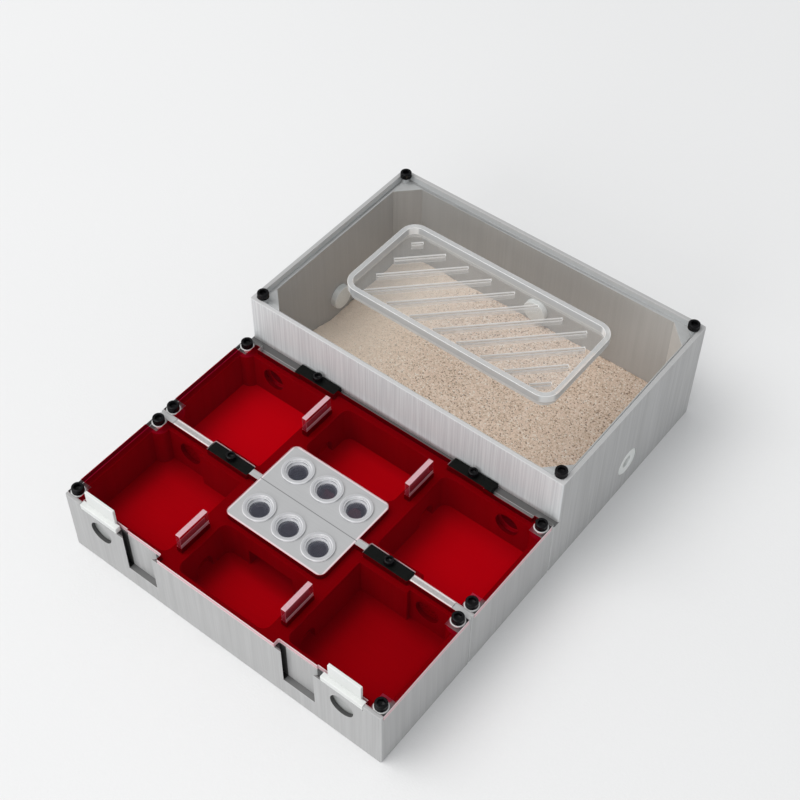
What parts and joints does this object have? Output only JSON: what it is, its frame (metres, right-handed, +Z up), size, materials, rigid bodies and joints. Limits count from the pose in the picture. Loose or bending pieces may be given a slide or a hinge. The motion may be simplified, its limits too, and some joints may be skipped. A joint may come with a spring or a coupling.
{
  "type": "ant habitat",
  "caption": "Two low nest units under red-filmed clear covers, keyed to a taller sand-floored foraging box with a vented lid.",
  "frame": {"origin": "on the table in the middle of the outer size", "axes": "+X to the right along the front wall, +Y from the nest units to the foraging box, +Z up"},
  "size_m": [0.17, 0.231, 0.0615],
  "materials": {
    "printed_grey": "printed in fine layers, satin grey",
    "clear_acrylic": "clear, polished faces, sawn edges",
    "red_film": "thin clear red film",
    "sand": "loose fine sand, beige with dark and light grains",
    "white_plastic": "white, satin",
    "frosted_acrylic": "clear plate with frosted edges",
    "black_plastic": "black, printed",
    "black_screw": "black oxide, glossy",
    "steel_mesh": "fine woven wire"
  },
  "bodies": {
    "habitat": {"nest_base_front": "printed_grey", "nest_base_rear": "printed_grey", "vent_panel_front": "printed_grey", "vent_panel_rear": "printed_grey", "nest_cover_front": "clear_acrylic", "nest_cover_rear": "clear_acrylic", "red_film_front": "red_film", "red_film_rear": "red_film", "outworld_base": "printed_grey", "outworld_cover": "clear_acrylic", "sand_bed": "sand", "vent_rings": "white_plastic", "vent_meshes": "steel_mesh", "screws_nest_front": "black_screw", "screws_nest_rear": "black_screw", "screws_box": "black_screw"},
    "lid": {"feeding_lid": "clear_acrylic"},
    "chamber_gate_front_left": {"chamber_gate_front_left": "frosted_acrylic"},
    "chamber_gate_front_right": {"chamber_gate_front_right": "frosted_acrylic"},
    "chamber_gate_rear_left": {"chamber_gate_rear_left": "frosted_acrylic"},
    "chamber_gate_rear_right": {"chamber_gate_rear_right": "frosted_acrylic"},
    "port_gate_front_left": {"port_gate_front_left": "white_plastic"},
    "port_gate_front_right": {"port_gate_front_right": "white_plastic"},
    "seam_gate_left": {"seam_gate_left": "white_plastic"},
    "seam_gate_right": {"seam_gate_right": "white_plastic"},
    "key_nests_left": {"key_nests_left": "black_plastic", "key_screw_nests_left": "black_screw"},
    "key_nests_right": {"key_nests_right": "black_plastic", "key_screw_nests_right": "black_screw"},
    "key_box_left": {"key_box_left": "black_plastic", "key_screw_box_left": "black_screw"},
    "key_box_right": {"key_box_right": "black_plastic", "key_screw_box_right": "black_screw"},
    "port_plug_left": {"port_plug_left": "white_plastic"},
    "port_plug_right": {"port_plug_right": "white_plastic"},
    "port_plug_back": {"port_plug_back": "white_plastic"}
  },
  "joints": [
    {"name": "lid_lift", "type": "slide", "parent": "habitat", "child": "lid", "axis": [0, 0, 1], "range_m": [0, 0.03]},
    {"name": "chamber_gate_front_left_slide", "type": "slide", "parent": "habitat", "child": "chamber_gate_front_left", "axis": [0, 0, 1], "range_m": [0, 0.02]},
    {"name": "chamber_gate_front_right_slide", "type": "slide", "parent": "habitat", "child": "chamber_gate_front_right", "axis": [0, 0, 1], "range_m": [0, 0.02]},
    {"name": "chamber_gate_rear_left_slide", "type": "slide", "parent": "habitat", "child": "chamber_gate_rear_left", "axis": [0, 0, 1], "range_m": [0, 0.02]},
    {"name": "chamber_gate_rear_right_slide", "type": "slide", "parent": "habitat", "child": "chamber_gate_rear_right", "axis": [0, 0, 1], "range_m": [0, 0.02]},
    {"name": "port_gate_front_left_slide", "type": "slide", "parent": "habitat", "child": "port_gate_front_left", "axis": [0, 0, 1], "range_m": [0, 0.014]},
    {"name": "port_gate_front_right_slide", "type": "slide", "parent": "habitat", "child": "port_gate_front_right", "axis": [0, 0, 1], "range_m": [0, 0.014]},
    {"name": "seam_gate_left_slide", "type": "slide", "parent": "habitat", "child": "seam_gate_left", "axis": [0, 0, 1], "range_m": [0, 0.014]},
    {"name": "seam_gate_right_slide", "type": "slide", "parent": "habitat", "child": "seam_gate_right", "axis": [0, 0, 1], "range_m": [0, 0.014]},
    {"name": "key_nests_left_lift", "type": "slide", "parent": "habitat", "child": "key_nests_left", "axis": [0, 0, 1], "range_m": [0, 0.026]},
    {"name": "key_nests_right_lift", "type": "slide", "parent": "habitat", "child": "key_nests_right", "axis": [0, 0, 1], "range_m": [0, 0.026]},
    {"name": "key_box_left_lift", "type": "slide", "parent": "habitat", "child": "key_box_left", "axis": [0, 0, 1], "range_m": [0, 0.026]},
    {"name": "key_box_right_lift", "type": "slide", "parent": "habitat", "child": "key_box_right", "axis": [0, 0, 1], "range_m": [0, 0.026]},
    {"name": "port_plug_left_pull", "type": "slide", "parent": "habitat", "child": "port_plug_left", "axis": [-1, 0, 0], "range_m": [0, 0.01]},
    {"name": "port_plug_right_pull", "type": "slide", "parent": "habitat", "child": "port_plug_right", "axis": [1, 0, 0], "range_m": [0, 0.01]},
    {"name": "port_plug_back_pull", "type": "slide", "parent": "habitat", "child": "port_plug_back", "axis": [0, 1, 0], "range_m": [0, 0.01]}
  ]
}
